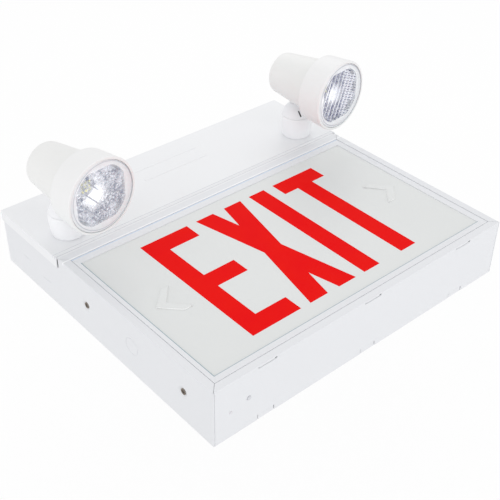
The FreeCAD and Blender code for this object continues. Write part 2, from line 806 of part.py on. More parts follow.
def terminal_block():
    """Mains terminals on the wall plate, one screw to a way."""
    left = "(terminal_x - terminal_width / 2)"
    pieces = [block("terminal_body", (left, "-sheet - terminal_depth",
                                      "battery_z - terminal_length / 2"),
                    ("terminal_width", "terminal_depth", "terminal_length"))]
    count = int(number("terminal_count"))
    for index in range(count):
        way = f"battery_z + terminal_pitch * ({index} - {(count - 1) / 2})"
        pieces.append(rod("terminal_screw", ("terminal_x", "-sheet - terminal_depth - sheet", way),
                          "terminal_screw", "sheet * 2", V(0, 1, 0)))
    node(join("terminals", pieces), "terminal_block")


def test_parts():
    """Push button, its switch, and the pilot light, in the bottom side."""
    x, y = "button_x", BUTTON_Y
    rim = "(button_radius + button_rim)"
    stem = rod("button_stem", (x, y, "-button_travel / 2"), "button_radius", "button_length")
    collar = rod("button_collar", (x, y, "sheet + button_travel / 4"), rim, "button_rim")
    node(join("button", [stem, collar]), "test_button")
    half = "switch_size / 2"
    switch = block("switch_body", (f"{x} - {half}", f"{y} - {half}", "switch_guide"),
                   ("switch_size", "switch_size", "switch_size * 0.7"))
    guide = rod("switch_guide", (x, y, "sheet"), half, "switch_guide")
    bore = rod("switch_bore", (x, y, "sheet / 2"), f"{rim} + 2 * button_fit", "switch_guide")
    node(take("switch", join("switch_all", [switch, guide]), bore), "test_switch")
    x, y = "pilot_x", PILOT_Y
    lens = rod("pilot_body", (x, y, "0"), "pilot_radius", "pilot_length")
    flange = rod("pilot_flange", (x, y, "sheet"), "pilot_radius + sheet", "sheet * 2")
    dome = doc.addObject("Part::Sphere", "pilot_dome")
    dome.setExpression("Radius", bound("pilot_radius"))
    stand(dome, x, y, "pilot_radius * 0.45")
    node(join("pilot", [lens, flange, dome]), "pilot_light")


# ---------------------------------------------------------------- lamp heads

PIN_LEVEL = "(ball_centre - lamp_axis)"
BEZEL_REAR_R = "(can_front_radius + bezel_step)"
BEZEL_FRONT_R = f"({BEZEL_REAR_R} + bezel_flare)"
BEZEL_BORE = "(can_front_radius + bezel_ledge)"
LENS_R = f"({BEZEL_FRONT_R} - bezel_lip - lens_gap)"


def lamp_frame(body, side, lift):
    """Stand a lamp part on the cover: its Z leaves the cover, its X is where it shines."""
    angle = math.radians(number("pan_rest"))
    shine = V(math.sin(angle), 0, -math.cos(angle))
    body.Placement = FreeCAD.Placement(V(), FreeCAD.Rotation(shine, V(), V(0, -1, 0), "ZXY"))
    stand(body, f"{side} * lamp_x - lamp_shift", f"-depth - {lift}", "lamp_z")


def lamp_base(side, name):
    """Cup that stands on the cover, with the threaded nipple that passes through it."""
    body = new_body(name)
    sketch = new_sketch(body, f"{name}_profile", "XZ_Plane")
    wire = "nipple_radius / 2"
    outline(sketch, [
        (wire, "-nipple_length"), ("nipple_radius", "-nipple_length"), ("nipple_radius", "0"),
        ("foot_radius - 1", "0"), ("foot_radius", "1", "cup_height * 3"),
        ("cup_radius", "cup_height - 2", "2.2"), ("cup_radius - 1", "cup_height"),
        ("cup_bore", "cup_height"), ("cup_bore", "cup_floor"), (wire, "cup_floor")])
    turn(body, sketch)
    lamp_frame(body, side, "0")
    node(body, name)


def lamp_nut(side, name):
    """Hexagonal lock nut on the nipple, behind the cover sheet."""
    body = new_body(name)
    sketch = new_sketch(body, f"{name}_outline", "XY_Plane", "-sheet")
    corners = []
    for index in range(6):
        turn_by = math.radians(60 * index)
        corners.append((f"nut_radius * {math.cos(turn_by):.6f}",
                        f"nut_radius * {math.sin(turn_by):.6f}"))
    outline(sketch, corners)
    circle(sketch, "0", "0", "nipple_radius")
    pad(body, sketch, "nut_height", back=True)
    lamp_frame(body, side, "0")
    node(body, name)


def lamp_swivel(side, name):
    """Ball top that turns in the cup; a slot in it lets the lamp's blade tilt."""
    body = new_body(name)
    sketch = new_sketch(body, f"{name}_profile", "XZ_Plane")
    seam = "(cup_height + seam_gap)"
    seam_r = f"sqrt(ball_radius ^ 2 - ({seam} - ball_centre) ^ 2)"
    spigot = "(cup_bore - spigot_fit)"
    foot = "(cup_height - spigot_length)"
    roof = "(ball_centre + cavity_radius)"
    outline(sketch, [
        (f"{spigot} - 3", foot), (spigot, foot), (spigot, seam), (seam_r, seam, "ball_radius"),
        ("0", "ball_centre + ball_radius"), ("0", roof, "-cavity_radius"),
        ("cavity_radius", "ball_centre"), (f"{spigot} - 3", "ball_centre - 2")])
    turn(body, sketch)
    slot = new_sketch(body, f"{name}_slot", "XZ_Plane")
    across = "ball_radius * 2 * cos(slot_edge * 1deg)"
    up = "ball_centre + ball_radius * 2 * sin(slot_edge * 1deg)"
    outline(slot, [("0", "ball_centre"), (across, up), ("0", "ball_centre + ball_radius * 3"),
                   (f"-{across}", up)])
    pocket(body, slot, "blade + 2 * blade_play", middle=True)
    hole = new_sketch(body, f"{name}_pin_hole", "XZ_Plane")
    circle(hole, "0", "ball_centre", "pin_radius")
    pocket(body, hole, "ball_radius * 3", middle=True)
    lamp_frame(body, side, "0")
    node(body, name)


def lamp_pin(side, name):
    """Pin across the ball, on which the blade tilts."""
    body = new_body(name)
    sketch = new_sketch(body, f"{name}_outline", "XZ_Plane")
    circle(sketch, "0", "ball_centre", "pin_radius")
    pad(body, sketch, "(cup_bore - spigot_fit - 1) * 2", middle=True)
    lamp_frame(body, side, "0")
    node(body, name)


def lamp_housing(side, name):
    """Rear can with its neck, which is hollowed over the ball and slotted for the blade."""
    body = new_body(name)
    foot = f"({PIN_LEVEL} + neck_rise)"
    neck = new_sketch(body, f"{name}_neck", "XY_Plane", foot)
    end = "(neck_length - neck_width) / 2"
    side_y = "neck_width / 2"
    outline(neck, [(f"-{end}", f"-{side_y}"), (end, f"-{side_y}", side_y),
                   (end, side_y), (f"-{end}", side_y, side_y)])
    pad(body, neck, f"-{foot} - can_rear_radius / 2").setExpression(
        "TaperAngle", bound("neck_taper"))
    can = new_sketch(body, f"{name}_can", "XZ_Plane")
    outline(can, [
        ("can_rear", "0"), ("can_front", "0"), ("can_front", "can_front_radius"),
        ("can_rear + can_round", "can_rear_radius + can_round / 8", "can_round"),
        ("can_rear", "can_rear_radius - can_round")])
    turn(body, can, "H_Axis")
    hollow = new_sketch(body, f"{name}_hollow", "XZ_Plane")
    outline(hollow, [
        ("can_rear + can_wall", "0"), ("can_front + 1", "0"),
        ("can_front + 1", "can_front_radius - can_wall"),
        ("can_rear + can_round", "can_rear_radius - can_wall"),
        ("can_rear + can_wall", "can_rear_radius - can_round - can_wall")])
    turn(body, hollow, "H_Axis", cut=True)
    saddle = new_sketch(body, f"{name}_saddle", "XZ_Plane")
    reach = "(ball_radius + saddle_gap)"
    outline(saddle, [("0", f"{PIN_LEVEL} - {reach}", reach), ("0", f"{PIN_LEVEL} + {reach}")])
    turn(body, saddle, "V_Axis", cut=True)
    slot = new_sketch(body, f"{name}_blade_slot", "XZ_Plane")
    rectangle(slot, "-eye_radius - blade_fit", PIN_LEVEL,
              "eye_radius + blade_fit", f"{PIN_LEVEL} + ball_radius + blade_root")
    pocket(body, slot, "blade + 2 * blade_fit", middle=True)
    lamp_frame(body, side, "lamp_axis")
    node(body, name)


def lamp_blade(side, name):
    """Flat blade: its root sits in the neck and its eye turns on the pin in the ball."""
    body = new_body(name)
    sketch = new_sketch(body, f"{name}_outline", "XZ_Plane")
    top = f"{PIN_LEVEL} + ball_radius + blade_root - blade_fit"
    outline(sketch, [("-eye_radius", PIN_LEVEL, "eye_radius"), ("eye_radius", PIN_LEVEL),
                     ("eye_radius", top), ("-eye_radius", top)])
    circle(sketch, "0", PIN_LEVEL, "pin_radius + pin_fit")
    pad(body, sketch, "blade", middle=True)
    lamp_frame(body, side, "lamp_axis")
    node(body, name)


def lamp_bezel(side, name):
    """Ring that clamps the lens and the reflector to the can."""
    body = new_body(name)
    sketch = new_sketch(body, f"{name}_profile", "XZ_Plane")
    seat = f"({LENS_R} + lens_gap)"
    ledge = "(bezel_front - lens_thick - lens_sink - assembly_gap / 2)"
    outline(sketch, [
        ("bezel_rear", "can_front_radius + spigot_fit"),
        ("bezel_rear", f"{BEZEL_REAR_R} - bezel_round", "-bezel_round"),
        ("bezel_rear + bezel_round", BEZEL_REAR_R),
        ("bezel_front - bezel_round", BEZEL_FRONT_R, "-bezel_round"),
        ("bezel_front", f"{BEZEL_FRONT_R} - bezel_round"),
        ("bezel_front", seat), (ledge, seat), (ledge, f"{LENS_R} - lens_seat"),
        (f"{ledge} - bezel_wall / 2", BEZEL_BORE),
        ("bezel_rear + bezel_wall", BEZEL_BORE),
        ("bezel_rear + bezel_wall", "can_front_radius + spigot_fit")])
    turn(body, sketch, "H_Axis")
    lamp_frame(body, side, "lamp_axis")
    node(body, name)


def lamp_lens(side, name):
    """Clear lens, a little domed."""
    body = new_body(name)
    sketch = new_sketch(body, f"{name}_profile", "XZ_Plane")
    front = "(bezel_front - lens_sink)"
    dome = f"(({LENS_R} ^ 2 + lens_rise ^ 2) / (2 * lens_rise))"
    outline(sketch, [
        (f"{front} - lens_thick", "0"), (f"{front} + lens_rise", "0", dome),
        (front, LENS_R), (f"{front} - lens_thick", LENS_R)])
    turn(body, sketch, "H_Axis")
    lamp_frame(body, side, "lamp_axis")
    node(body, name)


def lamp_reflector(side, name):
    """Bright bowl with a scalloped mouth."""
    body = new_body(name)
    sketch = new_sketch(body, f"{name}_profile", "XZ_Plane")
    outline(sketch, [
        ("reflector_rear", "reflector_throat"),
        ("reflector_rear", "reflector_throat + reflector_wall", "-reflector_curve"),
        ("reflector_front - reflector_wall", "reflector_mouth + reflector_wall"),
        ("reflector_front - reflector_wall", f"{BEZEL_BORE} - lens_gap"),
        ("reflector_front", f"{BEZEL_BORE} - lens_gap"),
        ("reflector_front", "reflector_mouth", "reflector_curve")])
    turn(body, sketch, "H_Axis")
    bite = new_sketch(body, f"{name}_bite", "YZ_Plane", "reflector_front")
    circle(bite, "0", "scallop_circle", "scallop_radius")
    cut = pocket(body, bite, "reflector_wall * 4")
    ring_of(body, cut, bite, "scallop_count")
    lamp_frame(body, side, "lamp_axis")
    node(body, name)


def lamp_emitter(side, name):
    """Round board with nine chips at the throat of the reflector."""
    body = new_body(name)
    sketch = new_sketch(body, f"{name}_board", "YZ_Plane", "reflector_rear - emitter_thick")
    circle(sketch, "0", "0", "emitter_radius")
    pad(body, sketch, "emitter_thick")
    chips = new_sketch(body, f"{name}_chips", "YZ_Plane", "reflector_rear")
    for across in (-1, 0, 1):
        for up in (-1, 0, 1):
            rectangle(chips, f"(2 * {across} - 0.5) * chip_size", f"(2 * {up} - 0.5) * chip_size",
                      f"(2 * {across} + 0.5) * chip_size", f"(2 * {up} + 0.5) * chip_size")
    pad(body, chips, "emitter_thick / 2")
    lamp_frame(body, side, "lamp_axis")
    node(body, name)


# ---------------------------------------------------------------- assembly

def build():
    for make in (housing_shell, lamp_cover, back_plate, side_screws, panel_frame, legend_sheets,
                 light_tray, led_bars, battery, transformer, charger_board, terminal_block,
                 test_parts):
        make()
    lamp_parts = {"base": lamp_base, "nut": lamp_nut, "swivel": lamp_swivel, "pin": lamp_pin,
                  "blade": lamp_blade, "housing": lamp_housing, "bezel": lamp_bezel, "lens": lamp_lens,
                  "reflector": lamp_reflector, "emitter": lamp_emitter}
    for side, word in ((-1, "left"), (1, "right")):
        for part, make in lamp_parts.items():
            make(side, f"{word}_lamp_{part}")
    doc.recompute()


def export():
    os.makedirs("parts", exist_ok=True)
    for item in doc.Objects:
        if "Invalid" in item.State or "Error" in item.State:
            raise RuntimeError(f"{item.Name} ({item.Label}) did not build")
    for item in NODES:
        if item.Shape.isNull() or not item.Shape.isValid():
            raise RuntimeError(f"{item.Label} has no valid shape")
        item.Shape.exportStep(f"parts/{item.Label}.step")


build()
export()
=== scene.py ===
"""Looks of the emergency exit light: finishes, cut legend, lamp optics, light and camera."""
import json
import math

import bmesh
import bpy
from mathutils import Matrix, Vector


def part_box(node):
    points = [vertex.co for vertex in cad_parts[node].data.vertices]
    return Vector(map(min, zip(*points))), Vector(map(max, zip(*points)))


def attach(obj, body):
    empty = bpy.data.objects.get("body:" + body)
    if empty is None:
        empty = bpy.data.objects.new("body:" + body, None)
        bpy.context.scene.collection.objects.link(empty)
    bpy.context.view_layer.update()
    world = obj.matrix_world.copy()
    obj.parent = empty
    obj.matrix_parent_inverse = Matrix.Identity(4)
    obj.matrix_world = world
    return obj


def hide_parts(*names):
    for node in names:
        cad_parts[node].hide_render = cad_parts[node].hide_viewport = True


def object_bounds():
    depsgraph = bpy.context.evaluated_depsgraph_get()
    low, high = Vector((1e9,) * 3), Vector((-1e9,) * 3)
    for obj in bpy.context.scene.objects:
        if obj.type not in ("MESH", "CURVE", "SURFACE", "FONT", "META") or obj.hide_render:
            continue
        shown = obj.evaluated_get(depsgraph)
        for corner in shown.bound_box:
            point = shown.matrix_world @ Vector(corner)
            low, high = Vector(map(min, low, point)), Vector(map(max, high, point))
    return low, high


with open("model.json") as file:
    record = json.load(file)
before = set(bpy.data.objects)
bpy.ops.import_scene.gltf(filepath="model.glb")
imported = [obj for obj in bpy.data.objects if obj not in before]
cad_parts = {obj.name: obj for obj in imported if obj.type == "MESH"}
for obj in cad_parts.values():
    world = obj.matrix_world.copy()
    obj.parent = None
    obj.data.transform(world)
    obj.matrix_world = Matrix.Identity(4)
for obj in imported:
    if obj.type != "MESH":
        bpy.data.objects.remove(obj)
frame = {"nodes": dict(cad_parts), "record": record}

cad_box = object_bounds()
RECORD = frame["record"]
NODES = frame["nodes"]
MM = 0.001

OUT = Vector((0, -1, 0))
RIGHT = Vector((1, 0, 0))
UP = Vector((0, 0, 1))
UPRIGHT = Matrix.Rotation(math.pi / 2, 4, "X")


# ------------------------------------------------------------------ shader tools

# A Mix node has a set of sockets for each kind of data: these are its colours.
MIX_FIRST, MIX_SECOND, MIX_RESULT = 6, 7, 2


class Wire:
    """An output socket that can be used in sums."""

    def __init__(self, nodes, socket):
        self.nodes = nodes
        self.socket = socket

    def _math(self, operation, first, second=0.0):
        return self.nodes.out("ShaderNodeMath", 0, {"operation": operation}, {0: first, 1: second})

    def __add__(self, other):
        return self._math("ADD", self, other)

    __radd__ = __add__

    def __sub__(self, other):
        return self._math("SUBTRACT", self, other)

    def __rsub__(self, other):
        return self._math("SUBTRACT", other, self)

    def __mul__(self, other):
        return self._math("MULTIPLY", self, other)

    __rmul__ = __mul__

    def least(self, other):
        return self._math("MINIMUM", self, other)

    def most(self, other):
        return self._math("MAXIMUM", self, other)

    def size(self):
        return self._math("ABSOLUTE", self)

    def sine(self):
        return self._math("SINE", self)

    def length_with(self, other):
        """Length of a vector whose parts are this wire and another."""
        return self._math("SQRT", self * self + other * other)

    def fade(self, low, high):
        """0 at low and 1 at high, with a smooth step between them."""
        return self.nodes.out("ShaderNodeMapRange", "Result", {"interpolation_type": "SMOOTHSTEP"},
                              {"Value": self, "From Min": low, "From Max": high})

    def band(self, low, high, soft):
        """1 between two levels and 0 beyond them."""
        return self.fade(low - soft, low + soft) * (1 - self.fade(high - soft, high + soft))


class Nodes:
    """A node tree that is built a node at a time."""

    def __init__(self, tree):
        self.tree = tree

    def feed(self, socket, value):
        """Link a wire to a socket, or write a value in it."""
        if isinstance(value, Wire):
            self.tree.links.new(value.socket, socket)
        else:
            socket.default_value = value

    def add(self, kind, settings=None, values=None):
        """Add a node: its settings first, then the values or links of its sockets."""
        node = self.tree.nodes.new(kind)
        for name, value in (settings or {}).items():
            setattr(node, name, value)
        for name, value in (values or {}).items():
            self.feed(node.inputs[name], value)
        return node

    def out(self, kind, output=0, settings=None, values=None):
        """Add a node and give one of its outputs."""
        return Wire(self, self.add(kind, settings, values).outputs[output])


class Finish(Nodes):
    """A material on one Principled shader."""

    def __init__(self, name, color, roughness, **constants):
        self.material = bpy.data.materials.new(name)
        self.material.use_nodes = True
        super().__init__(self.material.node_tree)
        self.shader = self.tree.nodes["Principled BSDF"]
        self.set("Base Color", opaque(color))
        self.set("Roughness", roughness)
        for socket, value in constants.items():
            self.set(socket.replace("_", " ").title().replace("Ior", "IOR"), value)

    def set(self, socket, value):
        """Set or link a socket of the shader."""
        self.feed(self.shader.inputs[socket], value)

    def place(self):
        """Where a point lies, in the frame of the whole object."""
        return self.out("ShaderNodeTexCoord", "Object")

    def along(self, direction, origin=Vector()):
        """Distance along a direction from an origin."""
        reach = self.out("ShaderNodeVectorMath", "Value", {"operation": "DOT_PRODUCT"},
                         {0: self.place(), 1: tuple(direction)})
        return reach - direction.dot(origin)

    def noise(self, size, detail=3.0, roughness=0.55, distortion=0.0, stretch=None):
        """Noise whose grains are about the given size."""
        where = self.place()
        if stretch:
            where = self.out("ShaderNodeMapping", 0, None, {"Vector": where, "Scale": stretch})
        return self.out("ShaderNodeTexNoise", "Fac", None, {
            "Vector": where, "Scale": 1.0 / size, "Detail": detail, "Roughness": roughness,
            "Distortion": distortion})

    def cells(self, size, feature="F1", randomness=1.0):
        """Distance within cells of about the given size."""
        return self.out("ShaderNodeTexVoronoi", "Distance", {"feature": feature}, {
            "Vector": self.place(), "Scale": 1.0 / size, "Randomness": randomness})

    def blend(self, amount, first, second):
        """Colour between two colours."""
        return self.out("ShaderNodeMix", MIX_RESULT, {"data_type": "RGBA"},
                        {0: amount, MIX_FIRST: opaque(first), MIX_SECOND: opaque(second)})

    def varied(self, mask, color, low, high):
        """One colour that goes from a low to a high share of itself with a mask."""
        return self.blend(mask, shade(color, low), shade(color, high))

    def paint(self, color, *marks):
        """Base colour with marks over it: each has its mask and its colour."""
        for mask, tint in marks:
            color = self.blend(mask, color, tint)
        self.set("Base Color", color)

    def bump(self, height, depth):
        """Relief of the given depth where height is 1."""
        relief = self.out("ShaderNodeBump", 0, None, {"Height": height, "Distance": depth})
        self.set("Normal", relief)


def opaque(color):
    """A colour with its alpha. A wire stays as it is."""
    return color if isinstance(color, Wire) else (*color, 1.0)


def shade(color, factor):
    """A colour made darker or paler."""
    return tuple(min(1.0, channel * factor) for channel in color)


# ------------------------------------------------------------------ steel and inner finishes

SHELL_WHITE = (0.772, 0.782, 0.808)
COVER_WHITE = (0.845, 0.852, 0.870)
PANEL_WHITE = (0.728, 0.742, 0.738)
COAT_SPREAD = (0.985, 1.012)
COAT_CLOUD = 0.09
PEEL = 0.0012
PEEL_DEPTH = 0.00006
MOULD_DEPTH = 0.00005

# Heights are above the lower edge of the box, and depths are in front of the wall.
SIGN_DEPTH = 77.5 * MM
WINDOW_HIGH = 274.0 * MM
# A painted highlight in a band along the top of the window, and its colour.
EDGE_BAND = (WINDOW_HIGH + 0.3 * MM, WINDOW_HIGH + 1.9 * MM)
PAINTED_EDGE_HIGHLIGHT = (0.95, 0.96, 0.98)
JOGGLE_BENDS = (290.6 * MM, 294.6 * MM)
BEND_HALF = 0.4 * MM
BEND_SHADE = (0.50, 0.52, 0.57)
LINE_SOFT = 0.3 * MM
RING_BORDER = 10.4 * MM
RING_LIP_SIDE = 17.8 * MM
RING_LIP_LOW = 20.2 * MM
RING_LIP_TOP = 10.4 * MM
# Painted shade at the frame's right joint, a painted shadow line along its lip and a painted
# reflection along its top.
JOINT_SHADE = (0.40, 0.43, 0.46)
LIP_LINE = 1.0 * MM
LIP_SOFT = 0.25 * MM
LIP_SHADOW_BLUE = (0.19, 0.31, 0.36)
HEAD_REFLECTION_BLUE = (0.56, 0.68, 0.86)
SCREW_DEPTH = 41.0 * MM
SCREW_LOW = 50.5 * MM
SCREW_HIGH = 231.5 * MM


def powder_coat(name, color, roughness=0.42, grain=PEEL, painted_lines=None):
    """Sprayed powder coat: orange peel, a breath of unevenness and faint handling marks, with any
    painted marks of light and shade that are given.
    """
    finish = Finish(name, color, roughness, ior=1.5)
    clouds = finish.noise(COAT_CLOUD, detail=2.0)
    rubbed = finish.noise(0.012, detail=4.0, roughness=0.65)
    # Painted highlight and painted shade, where the coat is given them.
    marks = painted_lines(finish) if painted_lines else ()
    finish.paint(finish.varied(clouds, color, *COAT_SPREAD), *marks)
    finish.set("Roughness", roughness - 0.05 + rubbed * 0.10)
    peel = finish.noise(grain, detail=1.0)
    finish.bump(peel + clouds * 0.2, PEEL_DEPTH)
    return finish.material


def sign_front(finish):
    """Height above the lower edge of the box, and a mask of what lies near its front."""
    height = finish.along(UP, Vector(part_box("housing_shell")[0]))
    front = finish.along(OUT).fade(SIGN_DEPTH - 4.0 * MM, SIGN_DEPTH - 3.0 * MM)
    return height, front


def bend_lines(finish):
    """Shade in the two bends of the cover's joggle."""
    height, front = sign_front(finish)
    for level in JOGGLE_BENDS:
        bend = height.band(level - BEND_HALF, level + BEND_HALF, LINE_SOFT)
        yield bend * front * 0.7, BEND_SHADE


def painted_edge_highlight(finish):
    """Painted highlight along the rolled edge at the top of the window."""
    height, front = sign_front(finish)
    yield height.band(*EDGE_BAND, LINE_SOFT) * front, PAINTED_EDGE_HIGHLIGHT


def ring_coat(name, color):
    """Retaining frame: painted shade where it meets the right strip, a painted blue-green shadow
    line along its near lip at the left and bottom, and a painted pale-blue reflection along its
    top.
    """
    finish = Finish(name, color, 0.40, ior=1.5)
    corner_low, corner_high = (Vector(corner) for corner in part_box("housing_shell"))
    x = finish.along(RIGHT)
    z = finish.along(UP, corner_low)
    border_x = corner_high.x - RING_BORDER
    lip_x = corner_high.x - RING_LIP_SIDE
    # Masks for painted shade at the right joint, a painted shadow line along the left and lower
    # lip, and a painted reflection along the top.
    joint = x.fade(border_x - 0.9 * MM, border_x - 0.3 * MM)
    level = z.band(RING_LIP_LOW - LIP_LINE, WINDOW_HIGH - RING_LIP_TOP, LIP_SOFT)
    left = (x * -1).band(lip_x - LIP_SOFT, lip_x + LIP_LINE, LIP_SOFT) * level
    inside = 1 - x.size().fade(lip_x, lip_x + LIP_LINE)
    foot = z.band(RING_LIP_LOW - LIP_LINE, RING_LIP_LOW + LIP_SOFT, LIP_SOFT) * inside
    head = z.band(WINDOW_HIGH - 2.4 * MM, WINDOW_HIGH - 0.6 * MM, LIP_SOFT) * (1 - joint)
    peel = finish.noise(PEEL, detail=1.0)
    clouds = finish.noise(COAT_CLOUD, detail=2.0)
    finish.paint(finish.varied(clouds, color, *COAT_SPREAD), (joint * 0.5, JOINT_SHADE),
                 (left.most(foot * 0.75) * 0.9, LIP_SHADOW_BLUE), (head * 0.6, HEAD_REFLECTION_BLUE))
    finish.set("Roughness", 0.36 + peel * 0.08)
    finish.bump(peel, PEEL_DEPTH)
    return finish.material


def mould_pits(finish):
    """Fine grain that a spark-eroded mould leaves."""
    return finish.noise(0.0009, detail=2.0, roughness=0.7)


def moulded(name, color, roughness=0.45):
    """Moulded plastic, with the mould's grain and a faint flow in its tone."""
    finish = Finish(name, color, roughness, ior=1.46)
    flow = finish.noise(0.03, detail=2.0, distortion=0.6)
    pits = mould_pits(finish)
    finish.paint(finish.varied(flow, color, 0.97, 1.02))
    finish.set("Roughness", roughness - 0.06 + pits * 0.12)
    finish.bump(pits, MOULD_DEPTH)
    return finish.material


def zinc(name, color, roughness=0.32):
    """Zinc plate on rolled steel: grain along the sheet and pale spangle."""
    finish = Finish(name, color, roughness, metallic=1.0)
    rolled = finish.noise(0.004, detail=5.0, stretch=(1.0, 1.0, 0.06))
    spangle = finish.cells(0.006)
    finish.paint(finish.varied(rolled, color, 0.82, 1.12))
    finish.set("Roughness", roughness + rolled * 0.15 - spangle * 0.08)
    finish.bump(rolled, 0.00004)
    return finish.material


def red_acrylic(name):
    """Red sheet with a soft sheen and a slow change of tone."""
    finish = Finish(name, (0.83, 0.004, 0.005), 0.50, specular_ior_level=0.03)
    tone = finish.noise(0.05, detail=2.0)
    grain = finish.noise(0.0006, detail=2.0)
    finish.paint(finish.blend(tone, (0.81, 0.002, 0.006), (0.86, 0.010, 0.004)))
    finish.set("Roughness", 0.46 + grain * 0.10)
    finish.bump(grain, 0.00002)
    return finish.material


def circuit(name):
    """Solder mask with copper runs showing through and a few bare pads."""
    green = (0.030, 0.200, 0.090)
    run_green = (0.060, 0.330, 0.150)
    bare_metal = (0.75, 0.70, 0.55)
    finish = Finish(name, green, 0.35, ior=1.5)
    runs = finish.cells(0.006, feature="DISTANCE_TO_EDGE", randomness=0.35)
    pads = finish.cells(0.009, randomness=0.2)
    track = 1 - runs.fade(0.02, 0.06)
    pad = 1 - pads.fade(0.10, 0.16)
    finish.paint(finish.blend(track, green, run_green), (pad, bare_metal))
    finish.set("Roughness", 0.30 + track * 0.12)
    finish.set("Metallic", pad)
    finish.bump(track + pad, 0.00008)
    return finish.material


def battery_wrap(name):
    """Shrink sleeve, pulled tight round the cells, with a plain darker band."""
    blue = (0.045, 0.150, 0.420)
    finish = Finish(name, blue, 0.25, ior=1.5)
    low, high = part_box("battery_pack")
    height = finish.along(UP, Vector(low))
    rise = high[2] - low[2]
    band = height.fade(rise * 0.70, rise * 0.71)
    creases = finish.noise(0.004, detail=4.0, stretch=(1.0, 1.0, 0.2))
    finish.paint(finish.blend(band, blue, shade(blue, 0.35)))
    finish.set("Roughness", 0.22 + creases * 0.14)
    finish.bump(creases, 0.00015)
    return finish.material


def core_steel(name):
    """Varnished laminations, edge on."""
    plate_pitch = 0.0006
    finish = Finish(name, (0.10, 0.10, 0.11), 0.45, metallic=0.6)
    depth = finish.along(OUT)
    plates = (depth * (2 * math.pi / plate_pitch)).sine() * 0.5 + 0.5
    tone = finish.noise(0.006, detail=3.0)
    finish.paint(finish.blend(plates * tone, (0.05, 0.05, 0.055), (0.26, 0.25, 0.24)))
    finish.set("Roughness", 0.35 + tone * 0.2)
    finish.bump(plates, 0.00010)
    return finish.material


def dark_screw(name):
    """Bronze-black phosphate on pan heads, rubbed paler, each with a cross recess in painted shade
    and a painted highlight round its rim.
    """
    finish = Finish(name, (0.12, 0.09, 0.07), 0.45, metallic=0.8)
    low = Vector(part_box("housing_shell")[0])
    depth = (finish.along(OUT) - SCREW_DEPTH).size()
    height = finish.along(UP, low)
    height = (height - SCREW_LOW).size().least((height - SCREW_HIGH).size())
    # The cross recess is painted shade, with a little bump.
    arms = 1 - depth.least(height).fade(0.45 * MM, 0.65 * MM)
    recess = arms * (1 - depth.most(height).fade(2.2 * MM, 2.5 * MM))
    # A painted highlight round the rim of each head.
    rim = depth.length_with(height).fade(3.4 * MM, 4.2 * MM)
    rubbed = finish.noise(0.0011, detail=3.0)
    bronze = finish.blend(rubbed, (0.10, 0.08, 0.06), (0.30, 0.24, 0.19))
    finish.paint(bronze, (rim * 0.6, (0.62, 0.60, 0.57)), (recess, (0.015, 0.012, 0.010)))
    finish.set("Roughness", 0.38 + rubbed * 0.2)
    finish.bump(rubbed * 0.1 - recess, 0.0006)
    return finish.material


# ------------------------------------------------------------------ lamp finishes

# A lamp's places are across its axis and outwards from the sign, from the bezel's centre.
CAN_WHITE = (0.845, 0.845, 0.840)
# Cooler tints, painted on each lamp's side toward the panel to offset the pink light the red
# letters throw on it.
CAN_PAINTED_COOL = (0.840, 0.850, 0.852)
BEZEL_WHITE = (0.865, 0.865, 0.870)
BEZEL_PAINTED_COOL = (0.845, 0.868, 0.872)
# Cup and neck are painted paler than the bezel and can: painted light against the shade of the lamp
# heads.
CUP_WHITE_PAINTED_LIGHT = (0.930, 0.935, 0.955)
NECK_WHITE_PAINTED_LIGHT = (0.895, 0.900, 0.925)
SLOT_END = (-9.4 * MM, -12.6 * MM, -15.4 * MM)
SLOT_RUN, SLOT_RISE = 0.78, 0.62
# Painted shadow at the dark end of each swivel's slot.
SLOT_SHADOW = (0.03, 0.03, 0.035)
# Painted shade in the line where bezel and can meet: its band and colour.
LAP_BAND = (-1.3 * MM, 0.5 * MM, 0.4 * MM)
LAP_SHADE = (0.50, 0.51, 0.47)
FIELD_CENTRE = (-0.003, 0.0015)
FIELD_ROUND = (0.0370, 0.0385)
FIELD_HALF = (0.0335, 0.0345)
FIELD_RIM = (0.0395, 0.0405)
# Band of painted shade at the lens's edge, where it meets the bezel.
LENS_EDGE_SHADE = (0.0416, 0.0427, 0.0003)
LENS_CLEAR = (0.935, 0.960, 0.985)
# How far the bowl's painted glare is moved aside behind the lens.
GLARE_DEPTH = 14.0 * MM
BOARD_THICK = 1.6 * MM


def neck_plastic(name, lamp):
    """Swivel plastic, with painted shadow for the dark end of the slot that the steel blade passes
    through.
    """
    finish = Finish(name, NECK_WHITE_PAINTED_LIGHT, 0.42, ior=1.46)
    middle = lamp["pivot"] + Vector(SLOT_END)
    side, out, up = (finish.along(way, middle) for way in (RIGHT, OUT, UP))
    across = side.length_with(out * SLOT_RISE - up * SLOT_RUN)
    along = (out * SLOT_RUN + up * SLOT_RISE).size()
    slot = (1 - across.fade(0.7 * MM, 1.2 * MM)) * (1 - along.fade(4.2 * MM, 4.8 * MM))
    pits = mould_pits(finish)
    finish.paint(finish.varied(pits, NECK_WHITE_PAINTED_LIGHT, 0.98, 1.02), (slot, SLOT_SHADOW))
    finish.set("Roughness", 0.36 + pits * 0.12)
    finish.bump(pits - slot * 8, MOULD_DEPTH)
    return finish.material


